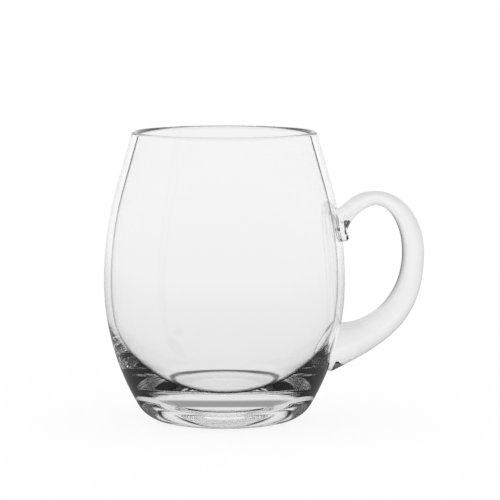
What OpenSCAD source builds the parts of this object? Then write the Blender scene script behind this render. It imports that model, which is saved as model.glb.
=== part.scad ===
// Half-litre beer mug of clear glass, blown by hand: a barrel-shaped bowl with a heavy base,
// and a drawn handle set on its wall while hot. Millimetres, +Z up. The origin is the middle of
// the flat foot, and the handle points towards +X.

/* [Bowl] */
// Height of the mug, from foot to rim
height = 120; // [105:1:140]
// Outer diameter at the belly, the widest place
belly_d = 100; // [90:1:116]
// Height of the belly above the foot
belly_z = 57.6; // [50:0.2:64]
// Upright length of the straight neck below the rim
neck_h = 22; // [12:1:32]
// Lean of the neck towards the axis, in degrees
neck_lean = 15.8; // [9:0.2:19]
// Thickness of the blown wall
wall = 2.8; // [2:0.1:4.5]

/* [Base] */
// Diameter of the flat foot that the mug stands on
foot_d = 49; // [40:0.5:60]
// Radius of the outside corner, from the foot up into the wall
foot_corner_r = 13.5; // [8:0.5:16]
// Height down to which the wall keeps its thickness
even_wall_z = 43; // [36:1:50]
// Thickness of the glass under the drink, on the axis
floor_t = 8.8; // [5:0.1:14]
// Diameter of the flat middle of the floor, inside
floor_d = 28; // [20:1:36]
// Radius of the inside corner, from the floor up into the wall
floor_corner_r = 26; // [16:1:28]

/* [Handle] */
// Clear width for the fingers, from the belly to the grip
finger_gap = 23.7; // [18:0.1:34]
// Height of the grip's outermost place above the foot
grip_z = 70; // [62:0.5:76]
// Thickness of the grip at that place, away from the bowl
grip_t = 9.1; // [6:0.1:13]
// Width of the grip at that place, across the hand
grip_w = 11.6; // [8:0.2:18]
// Height of the arch that the handle turns over, at its upper edge
arch_z = 95.3; // [91:0.1:102]
// Distance of the arch's highest place from the belly, outwards
arch_out = 12.6; // [9:0.1:17]
// Thickness of the drawn glass at the top of the arch
arch_t = 5.8; // [4:0.1:9]
// Width of the drawn glass at the top of the arch
arch_w = 9.4; // [6:0.2:14]

/* [Handle joints] */
// Height of the upper joint's top edge on the wall
upper_joint_z = 88; // [84:0.5:92]
// Length of the upper joint down the wall
upper_joint_h = 13.4; // [9:0.2:17]
// Width of the upper joint across the wall
upper_joint_w = 15; // [10:0.5:20]
// Climb of the handle where it leaves the upper joint, in degrees
upper_joint_climb = 34; // [20:1:50]
// How far the pressed tail at the upper joint's lower end stands off the wall
tail_lip = 2.6; // [1.2:0.1:4]
// Height of the lower joint's top edge on the wall
lower_joint_z = 40.4; // [36:0.2:46]
// Length of the lower joint down the wall
lower_joint_h = 20; // [14:0.5:24]
// Width of the lower joint across the wall
lower_joint_w = 21; // [14:0.5:28]
// Slope of the handle's underside where it runs into the lower joint, in degrees
lower_joint_slope = 27; // [15:1:40]
// How far the blunt lower end of the lower joint stands off the wall
heel_lip = 2.4; // [1:0.1:4]

/* [Hidden] */
$fn = 180;
clear_glass = [0.88, 0.91, 0.91, 0.4];

// The outside: a corner at the foot, an arc up to the belly, an arc over it, a straight neck.
belly_r = belly_d / 2;
foot_r = foot_d / 2;
foot_r_in = min(foot_corner_r, (belly_r - foot_r) * 0.9);
low_arc_r = tangent_arc(belly_r - foot_r, belly_z - foot_r_in, foot_r_in);
low_arc_end = asin((belly_z - foot_r_in) / (low_arc_r - foot_r_in));
shoulder_z = height - neck_h;
top_arc_r = (shoulder_z - belly_z) / sin(neck_lean);

// The rim is fire-polished to a full round, half the wall in radius.
rim_r = wall / 2;
rim_c = [shoulder_r() - (height - rim_r + rim_r * sin(neck_lean) - shoulder_z) * tan(neck_lean)
         - rim_r * cos(neck_lean), height - rim_r];

// The inside: the outside less the wall, down to where the glass thickens, then a tighter arc that runs
// on without a kink and ends in the floor's corner.
floor_r = floor_d / 2;
even_arc_r = low_arc_r - wall;
even_end = asin((belly_z - even_wall_z) / even_arc_r);
even_way = [cos(even_end), -sin(even_end)];
even_low = [belly_r - low_arc_r, belly_z] + even_arc_r * even_way;
floor_r_in = min(floor_corner_r, 0.95 * even_way * (even_low - [floor_r, floor_t]) / (1 - sin(even_end)));
floor_c = [floor_r, floor_t + floor_r_in];
to_corner = even_low - floor_c;
in_arc_r = (to_corner * to_corner - pow(floor_r_in, 2)) / (2 * (even_way * to_corner - floor_r_in));
in_arc_c = even_low - in_arc_r * even_way;
in_arc_end = atan2(in_arc_c[1] - floor_c[1], floor_c[0] - in_arc_c[0]);

// Radius of an arc that starts upright at the belly and runs into a corner of radius r, where the
// corner's centre lies a nearer the axis and b below the belly.
function tangent_arc(a, b, r) = (a * a + b * b - r * r) / (2 * (a - r));
function shoulder_r() = belly_r - top_arc_r * (1 - cos(neck_lean));

// Points along an arc about c, at most three degrees apart, without its first point unless first is 0.
function arc(c, r, from, to, first = 1) =
    let (n = max(3, ceil(abs(to - from) / 3)))
    [for (i = [first:n]) let (a = from + (to - from) * i / n) c + r * [cos(a), sin(a)]];

// Half of the bowl's outside, from the axis at the foot up to the shoulder.
outside = concat([[0, 0], [foot_r, 0]],
    arc([foot_r, foot_r_in], foot_r_in, -90, -low_arc_end),
    arc([belly_r - low_arc_r, belly_z], low_arc_r, -low_arc_end, 0),
    arc([belly_r - top_arc_r, belly_z], top_arc_r, 0, neck_lean));

// The rim's round edge, from the outside over to the inside.
rim = arc(rim_c, rim_r, neck_lean, neck_lean + 180, 0);

// Half of the bowl's inside, from the shoulder down to the axis at the floor.
inside = concat(
    arc([belly_r - top_arc_r, belly_z], top_arc_r - wall, neck_lean, 0, 0),
    arc([belly_r - low_arc_r, belly_z], even_arc_r, 0, -even_end),
    arc(in_arc_c, in_arc_r, -even_end, -in_arc_end),
    arc(floor_c, floor_r_in, -in_arc_end, -90),
    [[0, floor_t]]);

// Outer radius of the bowl at a height above the foot's corner.
function wall_r(z) =
    z > shoulder_z ? shoulder_r() - (z - shoulder_z) * tan(neck_lean) :
    z > belly_z ? belly_r - top_arc_r + sqrt(pow(top_arc_r, 2) - pow(z - belly_z, 2)) :
    belly_r - low_arc_r + sqrt(pow(low_arc_r, 2) - pow(belly_z - z, 2));

// The handle is a loft of ovals between two rails in the XZ plane: its outer edge, and its inner
// edge on the fingers' side. Each rail is five curves that meet smoothly: out of the wall, up to
// the arch, round to the grip, down to the lower joint, and back into the wall.
sink = max(upper_joint_w, lower_joint_w) / 4;
round_out = 0.5523;
upper_z = upper_joint_z - upper_joint_h;
lower_z = lower_joint_z - lower_joint_h;
climb = [cos(upper_joint_climb), sin(upper_joint_climb)];
slope = [cos(lower_joint_slope), sin(lower_joint_slope)];

upper_out = [wall_r(upper_joint_z), upper_joint_z];
upper_in = [wall_r(upper_z) + tail_lip, upper_z];
tail = upper_in + [-tail_lip / 10, tail_lip];
tail_curl = [-0.35, 1];
arch_o = [belly_r + arch_out, arch_z];
arch_i = arch_o - [0, arch_t];
grip_i = [belly_r + finger_gap, grip_z];
grip_o = grip_i + [grip_t, 0];
lower_out = [wall_r(lower_z) + heel_lip, lower_z];
lower_in = [wall_r(lower_joint_z), lower_joint_z];

outer_rail = [
    [upper_out - sink * climb, upper_out - sink * climb * 2 / 3, upper_out - sink * climb / 3, upper_out],
    [upper_out, upper_out + climb * (arch_o[0] - upper_out[0]) * 0.35,
     arch_o - [(arch_o[0] - upper_out[0]) * 0.55, 0], arch_o],
    [arch_o, arch_o + [(grip_o[0] - arch_o[0]) * round_out, 0],
     grip_o + [0, (arch_z - grip_z) * round_out], grip_o],
    [grip_o, grip_o - [0, (grip_z - lower_z) * 0.58],
     lower_out + slope * (grip_o[0] - lower_out[0]) * 0.7, lower_out],
    [lower_out, lower_out - slope * heel_lip * 0.6, lower_out - [heel_lip * 1.2, 0],
     lower_out - [heel_lip + sink, -heel_lip / 2]]];

inner_rail = [
    [upper_in - [tail_lip + sink, 0], upper_in - tail_lip * [0.4, 0.3], tail - tail_curl * tail_lip * 1.1, tail],
    [tail, tail + tail_curl * (arch_i[1] - tail[1]) * 0.42,
     arch_i - [(arch_i[0] - tail[0]) * 0.35, 0], arch_i],
    [arch_i, arch_i + [(grip_i[0] - arch_i[0]) * round_out, 0],
     grip_i + [0, (arch_i[1] - grip_z) * round_out], grip_i],
    [grip_i, grip_i - [0, (grip_z - lower_joint_z) * 0.65],
     lower_in + [(grip_i[0] - lower_in[0]) * 0.44, 0], lower_in],
    [lower_in, lower_in - [sink / 3, 0], lower_in - [sink * 2 / 3, 0], lower_in - [sink, 0]]];

// Width of the handle across the hand where each of the five curves starts and ends.
widths = [upper_joint_w, upper_joint_w, arch_w, grip_w, lower_joint_w, lower_joint_w];
// Ovals along each curve, and points round each oval.
ovals = [5, 10, 10, 16, 5];
sides = 32;

function bezier(p, t) = pow(1 - t, 3) * p[0] + 3 * t * pow(1 - t, 2) * p[1]
    + 3 * t * t * (1 - t) * p[2] + pow(t, 3) * p[3];

// Share of the change in width at t along curve k: both joints flare just where they meet the wall.
function flare(k, t) = k == 1 ? 1 - pow(1 - t, 2) : k == 2 ? t * t * (3 - 2 * t) : pow(t, 2.2);

// Points of the oval at t along curve k.
function oval(k, t) =
    let (o = bezier(outer_rail[k], t), i = bezier(inner_rail[k], t), m = (o + i) / 2, h = (o - i) / 2,
         w = (widths[k] + (widths[k + 1] - widths[k]) * flare(k, t)) / 2)
    [for (s = [0:sides - 1]) let (a = 360 * s / sides)
        [m[0] + h[0] * cos(a), w * sin(a), m[1] + h[1] * cos(a)]];

handle_ovals = [for (k = [0:len(ovals) - 1]) for (j = [(k == 0 ? 0 : 1):ovals[k]]) oval(k, j / ovals[k])];

// Skin over a row of ovals, with both ends closed.
module loft(rings) {
    n = len(rings[0]);
    last = (len(rings) - 1) * n;
    polyhedron(points = [for (r = rings) for (p = r) p],
        faces = concat(
            [for (r = [0:len(rings) - 2]) for (s = [0:n - 1]) let (t = (s + 1) % n)
                each [[r * n + s, (r + 1) * n + s, (r + 1) * n + t], [r * n + s, (r + 1) * n + t, r * n + t]]],
            [for (s = [1:n - 2]) [0, s, s + 1]],
            [for (s = [1:n - 2]) [last, last + s + 1, last + s]]));
}

module bowl() {
    color(clear_glass)
        rotate_extrude()
            polygon(concat(outside, rim, inside));
}

// The handle's two ends are cut to the bowl's own outside, so both joints lie full on the wall.
module handle() {
    color(clear_glass)
        difference() {
            loft(handle_ovals);
            rotate_extrude()
                polygon(concat(outside, [rim[0], [0, rim[0][1]]]));
        }
}

bowl();
handle();
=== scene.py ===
"""A beer mug of clear blown glass with a drawn handle, standing on a white table."""
import math
import bpy
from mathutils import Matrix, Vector
from mathutils.geometry import interpolate_bezier


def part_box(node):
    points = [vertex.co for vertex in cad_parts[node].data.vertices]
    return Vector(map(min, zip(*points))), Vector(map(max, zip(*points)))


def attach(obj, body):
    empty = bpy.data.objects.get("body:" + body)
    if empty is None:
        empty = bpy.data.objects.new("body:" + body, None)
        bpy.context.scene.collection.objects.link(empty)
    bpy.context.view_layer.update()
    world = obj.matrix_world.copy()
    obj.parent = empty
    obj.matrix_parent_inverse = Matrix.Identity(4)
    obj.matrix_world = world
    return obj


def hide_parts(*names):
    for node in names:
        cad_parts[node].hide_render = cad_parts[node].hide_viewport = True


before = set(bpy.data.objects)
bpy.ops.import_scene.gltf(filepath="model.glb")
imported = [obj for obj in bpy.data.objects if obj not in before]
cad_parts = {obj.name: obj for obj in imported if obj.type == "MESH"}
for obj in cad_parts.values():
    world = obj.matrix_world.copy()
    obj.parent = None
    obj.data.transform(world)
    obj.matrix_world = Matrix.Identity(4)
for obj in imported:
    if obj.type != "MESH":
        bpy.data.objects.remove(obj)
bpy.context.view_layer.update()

# Bowl
# One gather of soda-lime glass, blown into a barrel with an even wall and a heavy base. Its foot is
# flat and its rim is fire-polished to a full round. Half the outline is drawn, then turned round.
mm = 0.001
bowl_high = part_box("bowl")[1]
height = bowl_high.z
belly_r = bowl_high.x
belly_z = 57.6 * mm
neck_h = 22 * mm
neck_lean = math.radians(15.8)
wall = 2.8 * mm
foot_r = 24.5 * mm
foot_corner_r = 13.5 * mm
even_wall_z = 43 * mm
floor_t = 8.8 * mm
floor_r = 14 * mm
floor_corner_r = 26 * mm
steps_round = 192
arc_step = math.radians(2)
arc_least = 4
foot_steps, neck_steps, floor_steps = 12, 10, 8
weld = 0.001 * mm


def at(x, z):
    """A point, or a way, in the upright plane of the bowl's axis and the handle."""
    return Vector((x, 0, z))


def arc(centre_x, centre_z, radius, start, end):
    """Points along an arc in the upright plane, from just after its start to its end."""
    steps = max(arc_least, math.ceil(abs(end - start) / arc_step))
    angles = [start + (end - start) * i / steps for i in range(1, steps + 1)]
    return [at(centre_x + radius * math.cos(a), centre_z + radius * math.sin(a)) for a in angles]


def straight(start, end, steps):
    """Points along a straight line, from just after its start to its end."""
    return [start.lerp(end, i / steps) for i in range(1, steps + 1)]


# Above the belly: an arc to the shoulder, a straight neck and the round of the rim.
shoulder_z = height - neck_h
top_arc_r = (shoulder_z - belly_z) / math.sin(neck_lean)
top_arc_x = belly_r - top_arc_r
shoulder_r = belly_r - top_arc_r * (1 - math.cos(neck_lean))
rim_r = wall / 2
rim_z = height - rim_r
rim_x = (shoulder_r - rim_r * math.cos(neck_lean)
         - (rim_z + rim_r * math.sin(neck_lean) - shoulder_z) * math.tan(neck_lean))
rim_out = at(rim_x + rim_r * math.cos(neck_lean), rim_z + rim_r * math.sin(neck_lean))
shoulder_in = at(top_arc_x + (top_arc_r - wall) * math.cos(neck_lean),
                 belly_z + (top_arc_r - wall) * math.sin(neck_lean))

# Below it: an arc that runs into the foot's corner, and inside, an even wall that thickens down to
# the floor's corner on an arc of its own.
foot_across, foot_up = belly_r - foot_r, belly_z - foot_corner_r
low_arc_r = ((foot_across ** 2 + foot_up ** 2 - foot_corner_r ** 2)
             / (2 * (foot_across - foot_corner_r)))
low_arc_x = belly_r - low_arc_r
low_arc_end = math.asin(foot_up / (low_arc_r - foot_corner_r))
even_arc_r = low_arc_r - wall
even_end = math.asin((belly_z - even_wall_z) / even_arc_r)
even_way = at(math.cos(even_end), -math.sin(even_end))
even_low = at(low_arc_x, belly_z) + even_arc_r * even_way
floor_corner = at(floor_r, floor_t + floor_corner_r)
to_corner = even_low - floor_corner
in_arc_r = ((to_corner.length_squared - floor_corner_r ** 2)
            / (2 * (even_way.dot(to_corner) - floor_corner_r)))
in_arc_c = even_low - in_arc_r * even_way
in_arc_end = math.atan2(in_arc_c.z - floor_t - floor_corner_r, floor_r - in_arc_c.x)

outline = [at(0, 0)]
outline += straight(outline[-1], at(foot_r, 0), foot_steps)
outline += arc(foot_r, foot_corner_r, foot_corner_r, -math.pi / 2, -low_arc_end)
outline += arc(low_arc_x, belly_z, low_arc_r, -low_arc_end, 0)
outline += arc(top_arc_x, belly_z, top_arc_r, 0, neck_lean)
outline += straight(outline[-1], rim_out, neck_steps)
outline += arc(rim_x, rim_z, rim_r, neck_lean, neck_lean + math.pi)
outline += straight(outline[-1], shoulder_in, neck_steps)
outline += arc(top_arc_x, belly_z, top_arc_r - wall, neck_lean, 0)
outline += arc(low_arc_x, belly_z, even_arc_r, 0, -even_end)
outline += arc(in_arc_c.x, in_arc_c.z, in_arc_r, -even_end, -in_arc_end)
outline += arc(floor_r, floor_t + floor_corner_r, floor_corner_r, -in_arc_end, -math.pi / 2)
outline += straight(outline[-1], at(0, floor_t), floor_steps)

bpy.ops.object.select_all(action="DESELECT")
bpy.ops.mesh.primitive_plane_add(size=wall)
bowl = bpy.context.object
bowl.name = bowl.data.name = "blown_bowl"
bpy.ops.object.mode_set(mode="EDIT")
bpy.ops.mesh.merge(type="CENTER")
for here, there in zip(outline, outline[1:]):
    bpy.ops.mesh.extrude_vertices_move(TRANSFORM_OT_translate={"value": there - here})
bpy.ops.mesh.select_all(action="SELECT")
bpy.ops.mesh.spin(steps=steps_round, angle=2 * math.pi, center=(0, 0, 0), axis=(0, 0, 1))
bpy.ops.mesh.select_all(action="SELECT")
bpy.ops.mesh.remove_doubles(threshold=weld)
bpy.ops.mesh.normals_make_consistent(inside=False)
bpy.ops.object.mode_set(mode="OBJECT")


def new_finish(name):
    """A material with an empty node tree."""
    finish = bpy.data.materials.new(name)
    finish.use_nodes = True
    finish.node_tree.nodes.clear()
    return finish


def add_node(tree, kind, inputs=None, **settings):
    """Adds a node with its settings, and links or sets its inputs."""
    added = tree.nodes.new(kind)
    for name, value in settings.items():
        setattr(added, name, value)
    for name, value in (inputs or {}).items():
        if isinstance(value, bpy.types.NodeSocket):
            tree.links.new(value, added.inputs[name])
        else:
            added.inputs[name].default_value = value
    return added


def linear(code):
    """An sRGB hex colour as linear red, green, blue and alpha."""
    parts = [int(code[i:i + 2], 16) / 255 for i in (1, 3, 5)]
    return [c / 12.92 if c <= 0.04045 else ((c + 0.055) / 1.055) ** 2.4 for c in parts] + [1]


def set_stops(ramp, stops):
    """Gives a colour ramp its stops, each a place along it and a colour, the first at its start."""
    ramp.elements.remove(ramp.elements[1])
    ramp.elements[0].color = linear(stops[0][1])
    for along, code in stops[1:]:
        ramp.elements.new(along).color = linear(code)


# Soda-lime glass, blown and fire-polished: clear, without a tint, and smooth but for slow waves
# left by the blowing. A thin dark line of painted shade runs down each side of the bowl: where the
# inner wall is met from within the glass just short of the critical angle, a black matt skin is
# mixed in, standing in for light thrown far aside to a dark part of the studio. The painted line is
# broader round the floor, where the glass is thick. Slants are given as one minus the cosine of the
# angle, which is what Facing says at an even blend.
glass_ior = 1.52
even_blend = 0.5
critical = 1 - math.sqrt(1 - 1 / glass_ior ** 2)
line_full, line_end = critical - 0.002, critical + 0.001
wall_line, floor_line = 0.0105, 0.03
floor_line_z, wall_line_z = 18 * mm, 40 * mm
painted_line_dark = 0.95
painted_line_share = [(0, "#ffffff"), (22 * mm, "#ffffff"), (40 * mm, "#aaaaaa"), (78 * mm, "#aaaaaa"),
              (108 * mm, "#ffffff")]
blown_wave = 16 * mm
blown_depth = 0.012 * mm
wave_detail, wave_rough = 1.5, 0.4
dull_from, dull_to = 0.4, 0.7
dullest = 0.012
blown_glass = new_finish("blown soda-lime glass")
tree = blown_glass.node_tree
place = add_node(tree, "ShaderNodeTexCoord")
side = add_node(tree, "ShaderNodeNewGeometry")
waves = add_node(tree, "ShaderNodeTexNoise",
                 {"Vector": place.outputs["Object"], "Scale": 1 / blown_wave,
                  "Detail": wave_detail, "Roughness": wave_rough})
ripple = add_node(tree, "ShaderNodeBump",
                  {"Height": waves.outputs["Fac"], "Strength": 1.0, "Distance": blown_depth})
polish = add_node(tree, "ShaderNodeMapRange",
                  {"Value": waves.outputs["Fac"], "From Min": dull_from, "From Max": dull_to,
                   "To Max": dullest})
skin = add_node(tree, "ShaderNodeBsdfPrincipled",
                {"Base Color": linear("#ffffff"), "Roughness": polish.outputs["Result"],
                 "IOR": glass_ior, "Transmission Weight": 1.0,
                 "Normal": ripple.outputs["Normal"]})

# The inner wall, met from within the glass, is where the shading normal points away from the axis.
outward = add_node(tree, "ShaderNodeVectorMath", {0: place.outputs["Object"], 1: (1, 1, 0)},
                   operation="MULTIPLY")
outward = add_node(tree, "ShaderNodeVectorMath",
                   {0: outward.outputs["Vector"], 1: side.outputs["Normal"]},
                   operation="DOT_PRODUCT")
inner = add_node(tree, "ShaderNodeMath", {0: outward.outputs["Value"], 1: 0.0},
                 operation="GREATER_THAN")
slant = add_node(tree, "ShaderNodeLayerWeight", {"Blend": even_blend})
high = add_node(tree, "ShaderNodeSeparateXYZ", {"Vector": place.outputs["Object"]})
soft = add_node(tree, "ShaderNodeMapRange",
                {"Value": high.outputs["Z"], "From Min": floor_line_z, "From Max": wall_line_z,
                 "To Min": critical - floor_line, "To Max": critical - wall_line})
begins = add_node(tree, "ShaderNodeMapRange",
                  {"Value": slant.outputs["Facing"], "From Min": soft.outputs["Result"],
                   "From Max": line_full, "To Max": painted_line_dark}, interpolation_type="SMOOTHSTEP")
ends = add_node(tree, "ShaderNodeMath", {0: slant.outputs["Facing"], 1: line_end},
                operation="LESS_THAN")
risen = add_node(tree, "ShaderNodeMath", {0: high.outputs["Z"], 1: height}, operation="DIVIDE")
share = add_node(tree, "ShaderNodeValToRGB", {"Fac": risen.outputs["Value"]})
set_stops(share.color_ramp, [(z / height, code) for z, code in painted_line_share])
# Painted shade of the line, mixed in below as a black matt skin.
painted_shade = begins.outputs["Result"]
for part in (ends.outputs["Value"], inner.outputs["Value"], side.outputs["Backfacing"],
             share.outputs["Color"]):
    painted_shade = add_node(tree, "ShaderNodeMath", {0: painted_shade, 1: part}, operation="MULTIPLY").outputs[0]
painted_black = add_node(tree, "ShaderNodeBsdfDiffuse", {"Color": linear("#000000")})
seen = add_node(tree, "ShaderNodeMixShader",
                {"Fac": painted_shade, 1: skin.outputs["BSDF"], 2: painted_black.outputs["BSDF"]})
add_node(tree, "ShaderNodeOutputMaterial", {"Surface": seen.outputs["Shader"]})

# Handle
# A rod of the same glass, drawn out while hot: pressed on the wall as a tail, bent over a thin
# arch, left thicker at the grip and pressed on again below in a flared pad. It is drawn ring by
# ring between its outer and its inner edge, which lie in the plane of the bowl's axis.
finger_gap = 23.7 * mm
grip_z = 70 * mm
grip_t = 9.1 * mm
grip_w = 11.6 * mm
arch_z = 95.3 * mm
arch_out = 12.6 * mm
arch_t = 5.8 * mm
arch_w = 9.4 * mm
upper_joint_z = 88 * mm
upper_joint_h = 13.4 * mm
upper_joint_w = 15 * mm
upper_joint_climb = math.radians(34)
tail_lip = 2.6 * mm
lower_joint_z = 40.4 * mm
lower_joint_h = 20 * mm
lower_joint_w = 21 * mm
lower_joint_slope = math.radians(27)
heel_lip = 2.4 * mm
melted_in = 1.8 * mm
rod_sides = 64
rings = [4, 26, 26, 44, 8]
pad_flare = 2.2

# How far each edge keeps its way before it bends, as a share of the span it crosses.
round_bend = 0.5523
climb_bend, arch_bend, arch_bend_in = 0.35, 0.55, 0.35
grip_bend, grip_bend_in = 0.58, 0.65
pad_bend, pad_bend_in = 0.7, 0.44
heel_bend, heel_tuck = 0.6, 1.2
tail_bend, curl_bend = 1.1, 0.42
tail_tuck = at(0.4, 0.3)
tail_curl = at(-0.35, 1)


def wall_x(z):
    """Outer radius of the bowl at a height between the foot's corner and the shoulder."""
    radius = top_arc_r if z > belly_z else low_arc_r
    return belly_r - radius + math.sqrt(radius ** 2 - (z - belly_z) ** 2)


upper_z = upper_joint_z - upper_joint_h
lower_z = lower_joint_z - lower_joint_h
climb = at(math.cos(upper_joint_climb), math.sin(upper_joint_climb))
slope = at(math.cos(lower_joint_slope), math.sin(lower_joint_slope))
upper_out = at(wall_x(upper_joint_z), upper_joint_z)
upper_in = at(wall_x(upper_z) + tail_lip, upper_z)
tail = upper_in + at(-tail_lip / 10, tail_lip)
arch_o = at(belly_r + arch_out, arch_z)
arch_i = arch_o - at(0, arch_t)
grip_i = at(belly_r + finger_gap, grip_z)
grip_o = grip_i + at(grip_t, 0)
lower_out = at(wall_x(lower_z) + heel_lip, lower_z)
lower_in = at(wall_x(lower_joint_z), lower_joint_z)

outer_edge = [
    [upper_out - melted_in * climb, upper_out - melted_in * climb * 2 / 3,
     upper_out - melted_in * climb / 3, upper_out],
    [upper_out, upper_out + climb * (arch_o.x - upper_out.x) * climb_bend,
     arch_o - at((arch_o.x - upper_out.x) * arch_bend, 0), arch_o],
    [arch_o, arch_o + at((grip_o.x - arch_o.x) * round_bend, 0),
     grip_o + at(0, (arch_z - grip_z) * round_bend), grip_o],
    [grip_o, grip_o - at(0, (grip_z - lower_z) * grip_bend),
     lower_out + slope * (grip_o.x - lower_out.x) * pad_bend, lower_out],
    [lower_out, lower_out - slope * heel_lip * heel_bend, lower_out - at(heel_lip * heel_tuck, 0),
     lower_out - at(heel_lip + melted_in, -heel_lip / 2)]]
inner_edge = [
    [upper_in - at(tail_lip + melted_in, 0), upper_in - tail_lip * tail_tuck,
     tail - tail_curl * tail_lip * tail_bend, tail],
    [tail, tail + tail_curl * (arch_i.z - tail.z) * curl_bend,
     arch_i - at((arch_i.x - tail.x) * arch_bend_in, 0), arch_i],
    [arch_i, arch_i + at((grip_i.x - arch_i.x) * round_bend, 0),
     grip_i + at(0, (arch_i.z - grip_z) * round_bend), grip_i],
    [grip_i, grip_i - at(0, (grip_z - lower_joint_z) * grip_bend_in),
     lower_in + at((grip_i.x - lower_in.x) * pad_bend_in, 0), lower_in],
    [lower_in, lower_in - at(melted_in / 3, 0), lower_in - at(melted_in * 2 / 3, 0),
     lower_in - at(melted_in, 0)]]
joint_widths = [upper_joint_w, upper_joint_w, arch_w, grip_w, lower_joint_w, lower_joint_w]


def flare(stretch, t):
    """Share of a stretch's change in width at t along it: both joints flare just at the wall."""
    return {1: 1 - (1 - t) ** 2, 2: t * t * (3 - 2 * t)}.get(stretch, t ** pad_flare)


drawn = []
for stretch, count in enumerate(rings):
    outer_points = interpolate_bezier(*outer_edge[stretch], count + 1)
    inner_points = interpolate_bezier(*inner_edge[stretch], count + 1)
    width_from, width_to = joint_widths[stretch:stretch + 2]
    for i in range(0 if stretch == 0 else 1, count + 1):
        half = (outer_points[i] - inner_points[i]) / 2
        width = width_from + (width_to - width_from) * flare(stretch, i / count)
        drawn.append((inner_points[i] + half, half.length, math.atan2(half.z, half.x), width / 2))

bpy.ops.object.select_all(action="DESELECT")
centre, thick, tilt, wide = drawn[0]
bpy.ops.mesh.primitive_circle_add(vertices=rod_sides, radius=1, fill_type="NGON")
handle = bpy.context.object
handle.name = handle.data.name = "drawn_handle"
bpy.ops.object.mode_set(mode="EDIT")
bpy.ops.transform.resize(value=(thick, wide, 1), center_override=(0, 0, 0))
bpy.ops.transform.rotate(value=tilt, orient_axis="Y", center_override=(0, 0, 0))
bpy.ops.transform.translate(value=centre)
for last, ring in zip(drawn, drawn[1:]):
    bpy.ops.mesh.extrude_region_move(TRANSFORM_OT_translate={"value": ring[0] - last[0]})
    bpy.ops.transform.rotate(value=-last[2], orient_axis="Y", center_override=ring[0])
    bpy.ops.transform.resize(value=(ring[1] / last[1], ring[3] / last[3], 1),
                             center_override=ring[0])
    bpy.ops.transform.rotate(value=ring[2], orient_axis="Y", center_override=ring[0])
bpy.ops.mesh.select_all(action="SELECT")
bpy.ops.mesh.normals_make_consistent(inside=False)
bpy.ops.object.mode_set(mode="OBJECT")

# The same glass, pulled rather than blown: its waves are short across the rod and long along the
# grip, and its pressed tail is creased. Its edges carry painted grey shade: black matt is mixed in
# where the front faces slant away, standing in for light a solid rod bends far aside. The painted
# shade is strongest on the side that faces the bowl squarely and left out near the tail.
drawn_wave = 5 * mm
drawn_long = 4
drawn_depth = 0.01 * mm
crease = 1.6 * mm
crease_detail = 1.0
crease_depth = 0.05 * mm
crease_full, crease_end = 4 * mm, 9 * mm
clear_end, grey_full = 8 * mm, 18 * mm
edge_soft = 0.035
finger_dark, outer_dark = 1.0, 0.25
finger_way, outer_way = -1.0, -0.6
drawn_glass = new_finish("drawn soda-lime glass")
tree = drawn_glass.node_tree
place = add_node(tree, "ShaderNodeTexCoord")
side = add_node(tree, "ShaderNodeNewGeometry")
pulled = add_node(tree, "ShaderNodeMapping",
                  {"Vector": place.outputs["Object"], "Scale": (1, 1, 1 / drawn_long)})
waves = add_node(tree, "ShaderNodeTexNoise",
                 {"Vector": pulled.outputs["Vector"], "Scale": 1 / drawn_wave,
                  "Detail": wave_detail, "Roughness": wave_rough})
ripple = add_node(tree, "ShaderNodeBump",
                  {"Height": waves.outputs["Fac"], "Strength": 1.0, "Distance": drawn_depth})
from_tail = add_node(tree, "ShaderNodeVectorMath", {0: place.outputs["Object"], 1: tail},
                     operation="DISTANCE")
creased = add_node(tree, "ShaderNodeMapRange",
                   {"Value": from_tail.outputs["Value"], "From Min": crease_end,
                    "From Max": crease_full, "To Max": crease_depth})
folds = add_node(tree, "ShaderNodeTexNoise",
                 {"Vector": place.outputs["Object"], "Scale": 1 / crease,
                  "Detail": crease_detail})
ripple = add_node(tree, "ShaderNodeBump",
                  {"Height": folds.outputs["Fac"], "Strength": 1.0,
                   "Distance": creased.outputs["Result"], "Normal": ripple.outputs["Normal"]})
polish = add_node(tree, "ShaderNodeMapRange",
                  {"Value": waves.outputs["Fac"], "From Min": dull_from, "From Max": dull_to,
                   "To Max": dullest})
skin = add_node(tree, "ShaderNodeBsdfPrincipled",
                {"Base Color": linear("#ffffff"), "Roughness": polish.outputs["Result"],
                 "IOR": glass_ior, "Transmission Weight": 1.0,
                 "Normal": ripple.outputs["Normal"]})
slant = add_node(tree, "ShaderNodeLayerWeight", {"Blend": even_blend})
facing = add_node(tree, "ShaderNodeSeparateXYZ", {"Vector": place.outputs["Normal"]})
dark = add_node(tree, "ShaderNodeMapRange",
                {"Value": facing.outputs["X"], "From Min": finger_way, "From Max": outer_way,
                 "To Min": finger_dark, "To Max": outer_dark})
edge = add_node(tree, "ShaderNodeMapRange",
                {"Value": slant.outputs["Facing"], "From Min": edge_soft,
                 "To Max": dark.outputs["Result"]})
front = add_node(tree, "ShaderNodeMath", {0: 1.0, 1: side.outputs["Backfacing"]},
                 operation="SUBTRACT")
drawn_out = add_node(tree, "ShaderNodeMapRange",
                     {"Value": from_tail.outputs["Value"], "From Min": clear_end,
                      "From Max": grey_full})
# Painted shade on the rod's edges, mixed in below as a black matt skin.
painted_shade = edge.outputs["Result"]
for part in (front.outputs["Value"], drawn_out.outputs["Result"]):
    painted_shade = add_node(tree, "ShaderNodeMath", {0: painted_shade, 1: part}, operation="MULTIPLY").outputs[0]
painted_black = add_node(tree, "ShaderNodeBsdfDiffuse", {"Color": linear("#000000")})
seen = add_node(tree, "ShaderNodeMixShader",
                {"Fac": painted_shade, 1: skin.outputs["BSDF"], 2: painted_black.outputs["BSDF"]})
add_node(tree, "ShaderNodeOutputMaterial", {"Surface": seen.outputs["Shader"]})

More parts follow.
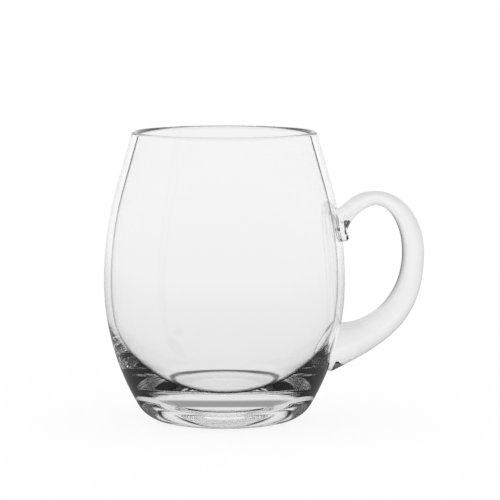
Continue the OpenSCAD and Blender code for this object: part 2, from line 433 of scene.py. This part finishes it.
# Joints
# Hot glass pressed on hot glass melts together, so light passes from the rod into the wall without
# meeting a surface. The rod is cut to the wall, and the same patch is marked out on the wall: both
# pieces stay whole, and the faces between them carry a finish that is not there to the eye.
glass_face, melted_face = 0, 1
smooth_below = math.radians(40)
melted_joint = new_finish("melted joint")
passes = add_node(melted_joint.node_tree, "ShaderNodeBsdfTransparent")
add_node(melted_joint.node_tree, "ShaderNodeOutputMaterial", {"Surface": passes.outputs["BSDF"]})


def pick(piece):
    """Makes a piece the only one selected, and the active one."""
    bpy.ops.object.select_all(action="DESELECT")
    piece.select_set(True)
    bpy.context.view_layer.objects.active = piece


def copy_of(piece, name):
    """A copy of a piece, with its own mesh."""
    pick(piece)
    bpy.ops.object.duplicate()
    copied = bpy.context.object
    copied.name = copied.data.name = name
    return copied


def boolean(piece, operation, other):
    """Cuts a piece with another one or joins it on, and keeps each face's material slot."""
    pick(piece)
    change = piece.modifiers.new("joint", "BOOLEAN")
    change.operation = operation
    change.object = other
    change.solver = "EXACT"
    change.material_mode = "INDEX"
    bpy.ops.object.modifier_apply(modifier=change.name)


def drop_faces(piece, face_slot):
    """Deletes the faces of one material slot."""
    pick(piece)
    bpy.ops.object.mode_set(mode="EDIT")
    bpy.ops.mesh.select_mode(type="FACE")
    bpy.ops.mesh.select_all(action="DESELECT")
    bpy.ops.object.mode_set(mode="OBJECT")
    for face in piece.data.polygons:
        face.select = face.material_index == face_slot
    bpy.ops.object.mode_set(mode="EDIT")
    bpy.ops.mesh.delete(type="FACE")
    bpy.ops.object.mode_set(mode="OBJECT")


bowl.data.materials.append(blown_glass)
handle.data.materials.append(drawn_glass)
for piece in (bowl, handle):
    piece.data.materials.append(melted_joint)
wall_cutter = copy_of(bowl, "wall_cutter")
rod = copy_of(handle, "rod")
for cutter in (wall_cutter, rod):
    cutter.data.polygons.foreach_set("material_index", [melted_face] * len(cutter.data.polygons))
boolean(handle, "DIFFERENCE", wall_cutter)
boolean(bowl, "UNION", rod)
drop_faces(bowl, melted_face)
patch = copy_of(handle, "patch")
drop_faces(patch, glass_face)
bpy.ops.object.mode_set(mode="EDIT")
bpy.ops.mesh.select_all(action="SELECT")
bpy.ops.mesh.flip_normals()
bpy.ops.object.mode_set(mode="OBJECT")
bowl.select_set(True)
bpy.context.view_layer.objects.active = bowl
bpy.ops.object.join()
bpy.ops.object.mode_set(mode="EDIT")
bpy.ops.mesh.select_all(action="SELECT")
bpy.ops.mesh.remove_doubles(threshold=weld)
bpy.ops.object.mode_set(mode="OBJECT")
bpy.ops.object.material_slot_remove_unused()
for cutter in (wall_cutter, rod):
    bpy.data.objects.remove(cutter)
for piece, node, slot in ((bowl, "bowl", "bowl_glass"), (handle, "handle", "handle_glass")):
    pick(piece)
    bpy.ops.object.shade_smooth_by_angle(angle=smooth_below)
    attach(piece, "root")
    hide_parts(node)

# Studio
# A round white table in a white room, with a bright panel behind and overhead, as clear glass is
# shot. Two rings of painted shadow under the mug's foot show on the table through the glass.
table_r = 1.2
table_sides = 96
table_gap = 0.1 * mm
table_glow = 0.86
corner_shade = 25 * mm, 29 * mm
foot_shade = 20 * mm, 28 * mm
shade_soft = 1 * mm

# Tones are for light that stayed outside the glass, went through it, was turned in it once, twice,
# three times, more often, and more often with the bowl's inside crossed.
room_tones = ["#ffffff", "#f5f5f5", "#ffffff", "#b0b0b0", "#e4e4e4", "#1c1c1c", "#141414"]
# Near the mug, painted shade: these tones make the table dark close to it, as the glass shows it.
near_tones = ["#101010", "#e4e4e4", "#e8e8e8", "#202020", "#e4e4e4", "#1c1c1c", "#141414"]
panel_tones = ["#ffffff", "#f5f5f5", "#ffffff", "#b0b0b0", "#f4f4f4", "#f4f4f4", "#141414"]
corner_tones = ["#ffffff", "#202020", "#e8e8e8", "#202020", "#e4e4e4", "#1c1c1c", "#141414"]
foot_tones = ["#ffffff", "#e4e4e4", "#9a9a9a", "#202020", "#e4e4e4", "#1c1c1c", "#141414"]
gone_in, inside_crossed, turned_often = 0.5, 2.5, 3.5


def tone_by_turns(tree, tones):
    """Colour of the studio by how often light was turned in the glass on its way."""
    path = add_node(tree, "ShaderNodeLightPath")
    passed, thrown = path.outputs["Transmission Depth"], path.outputs["Glossy Depth"]
    within = add_node(tree, "ShaderNodeMath", {0: passed, 1: gone_in}, operation="GREATER_THAN")
    across = add_node(tree, "ShaderNodeMath", {0: passed, 1: inside_crossed},
                      operation="GREATER_THAN")
    often = add_node(tree, "ShaderNodeMath", {0: thrown, 1: turned_often},
                     operation="GREATER_THAN")
    across = add_node(tree, "ShaderNodeMath",
                      {0: across.outputs["Value"], 1: often.outputs["Value"]},
                      operation="MULTIPLY")
    turned = add_node(tree, "ShaderNodeMath",
                      {0: thrown, 1: within.outputs["Value"], 2: within.outputs["Value"]},
                      operation="MULTIPLY_ADD")
    turned = add_node(tree, "ShaderNodeMath", {0: turned.outputs["Value"], 1: len(tones) - 2},
                      operation="MINIMUM")
    turned = add_node(tree, "ShaderNodeMath",
                      {0: across.outputs["Value"], 1: len(tones), 2: turned.outputs["Value"]},
                      operation="MULTIPLY_ADD")
    turned = add_node(tree, "ShaderNodeMath", {0: turned.outputs["Value"], 1: len(tones)},
                      operation="DIVIDE")
    ramp = add_node(tree, "ShaderNodeValToRGB", {"Fac": turned.outputs["Value"]})
    ramp.color_ramp.interpolation = "CONSTANT"
    set_stops(ramp.color_ramp, [((i - 0.5) / len(tones), tone) for i, tone in enumerate(tones)])
    return ramp.outputs["Color"]


# Matt white lacquer, lit from all round: plain white to the eye, but for the mug's own soft shadow.
# What the glass shows of it glows in set tones, with painted shade darkest close to the mug.
bpy.ops.object.select_all(action="DESELECT")
bpy.ops.mesh.primitive_circle_add(vertices=table_sides, radius=table_r, fill_type="NGON",
                                  location=(0, 0, -table_gap))
table = bpy.context.object
table.name = table.data.name = "white_table"
white_top = new_finish("white table top")
tree = white_top.node_tree
place = add_node(tree, "ShaderNodeTexCoord")
away = add_node(tree, "ShaderNodeVectorMath", {0: place.outputs["Object"]}, operation="LENGTH")
far = add_node(tree, "ShaderNodeMath", {0: away.outputs["Value"], 1: table_r}, operation="DIVIDE")
far = add_node(tree, "ShaderNodeMath", {0: far.outputs["Value"]}, operation="SQRT")
tone = add_node(tree, "ShaderNodeMix",
                {"Factor": far.outputs["Value"], "A": tone_by_turns(tree, near_tones),
                 "B": tone_by_turns(tree, room_tones)}, data_type="RGBA")
# Two rings of painted shadow: within each ring the tone darkens to that ring's tones.
for tones, (inner_r, outer_r) in ((corner_tones, corner_shade), (foot_tones, foot_shade)):
    begins = add_node(tree, "ShaderNodeMapRange",
                      {"Value": away.outputs["Value"], "From Min": inner_r - shade_soft,
                       "From Max": inner_r + shade_soft})
    ends = add_node(tree, "ShaderNodeMapRange",
                    {"Value": away.outputs["Value"], "From Min": outer_r + shade_soft,
                     "From Max": outer_r - shade_soft})
    ring = add_node(tree, "ShaderNodeMath",
                    {0: begins.outputs["Result"], 1: ends.outputs["Result"]},
                    operation="MULTIPLY")
    tone = add_node(tree, "ShaderNodeMix",
                    {"Factor": ring.outputs["Value"], "A": tone.outputs["Result"],
                     "B": tone_by_turns(tree, tones)}, data_type="RGBA", blend_type="DARKEN")
through_glass = add_node(tree, "ShaderNodeEmission", {"Color": tone.outputs["Result"]})
matt = add_node(tree, "ShaderNodeBsdfDiffuse", {"Color": linear("#ffffff")})
glow = add_node(tree, "ShaderNodeEmission", {"Color": linear("#ffffff")})
plain = add_node(tree, "ShaderNodeMixShader",
                 {"Fac": table_glow, 1: matt.outputs["BSDF"], 2: glow.outputs["Emission"]})
path = add_node(tree, "ShaderNodeLightPath")
top = add_node(tree, "ShaderNodeMixShader",
               {"Fac": path.outputs["Is Camera Ray"], 1: through_glass.outputs["Emission"],
                2: plain.outputs["Shader"]})
add_node(tree, "ShaderNodeOutputMaterial", {"Surface": top.outputs["Shader"]})
table.data.materials.append(white_top)

# The panel's soft edges, each from where it starts to where it is full, as parts of a way's length:
# upward, back from the camera's side, and in from both sides.
panel_up, panel_back, panel_in = (0.2, 0.35), (-0.8, -0.6), (0.65, 0.5)
room = bpy.data.worlds.new("white room")
bpy.context.scene.world = room
room.use_nodes = True
tree = room.node_tree
tree.nodes.clear()
place = add_node(tree, "ShaderNodeTexCoord")
way = add_node(tree, "ShaderNodeSeparateXYZ", {"Vector": place.outputs["Generated"]})
aside = add_node(tree, "ShaderNodeMath", {0: way.outputs["X"]}, operation="ABSOLUTE")
panel = add_node(tree, "ShaderNodeMapRange",
                 {"Value": way.outputs["Z"], "From Min": panel_up[0], "From Max": panel_up[1]})
for value, (starts, full) in ((way.outputs["Y"], panel_back), (aside.outputs["Value"], panel_in)):
    edge = add_node(tree, "ShaderNodeMapRange",
                    {"Value": value, "From Min": starts, "From Max": full})
    panel = add_node(tree, "ShaderNodeMath", {0: panel.outputs[0], 1: edge.outputs["Result"]},
                     operation="MULTIPLY")
tone = add_node(tree, "ShaderNodeMix",
                {"Factor": panel.outputs["Value"], "A": tone_by_turns(tree, room_tones),
                 "B": tone_by_turns(tree, panel_tones)}, data_type="RGBA")
air = add_node(tree, "ShaderNodeBackground", {"Color": tone.outputs["Result"]})
add_node(tree, "ShaderNodeOutputWorld", {"Surface": air.outputs["Background"]})

# Camera
# A long lens a little above the rim's height, aimed at the middle of the mug and its handle. Light
# is followed a long way, because it is turned many times before it leaves the foot and the rim.
image_px = 500
px_per_m = 2410
aim = Vector((0.0106, 0, 0.0707))
stand = Vector((0.0106, -1.15, 0.198))
most_turns = 128
camera = bpy.data.objects.new("camera", bpy.data.cameras.new("camera"))
bpy.context.scene.collection.objects.link(camera)
camera.location = stand
camera.rotation_euler = (aim - stand).to_track_quat("-Z", "Y").to_euler()
camera.data.sensor_width = 36
camera.data.lens = camera.data.sensor_width * px_per_m * (aim - stand).length / image_px
bpy.context.scene.camera = camera
bpy.context.scene.view_settings.view_transform = "Standard"
for kind in ("max_bounces", "glossy_bounces", "transmission_bounces", "transparent_max_bounces"):
    setattr(bpy.context.scene.cycles, kind, most_turns)
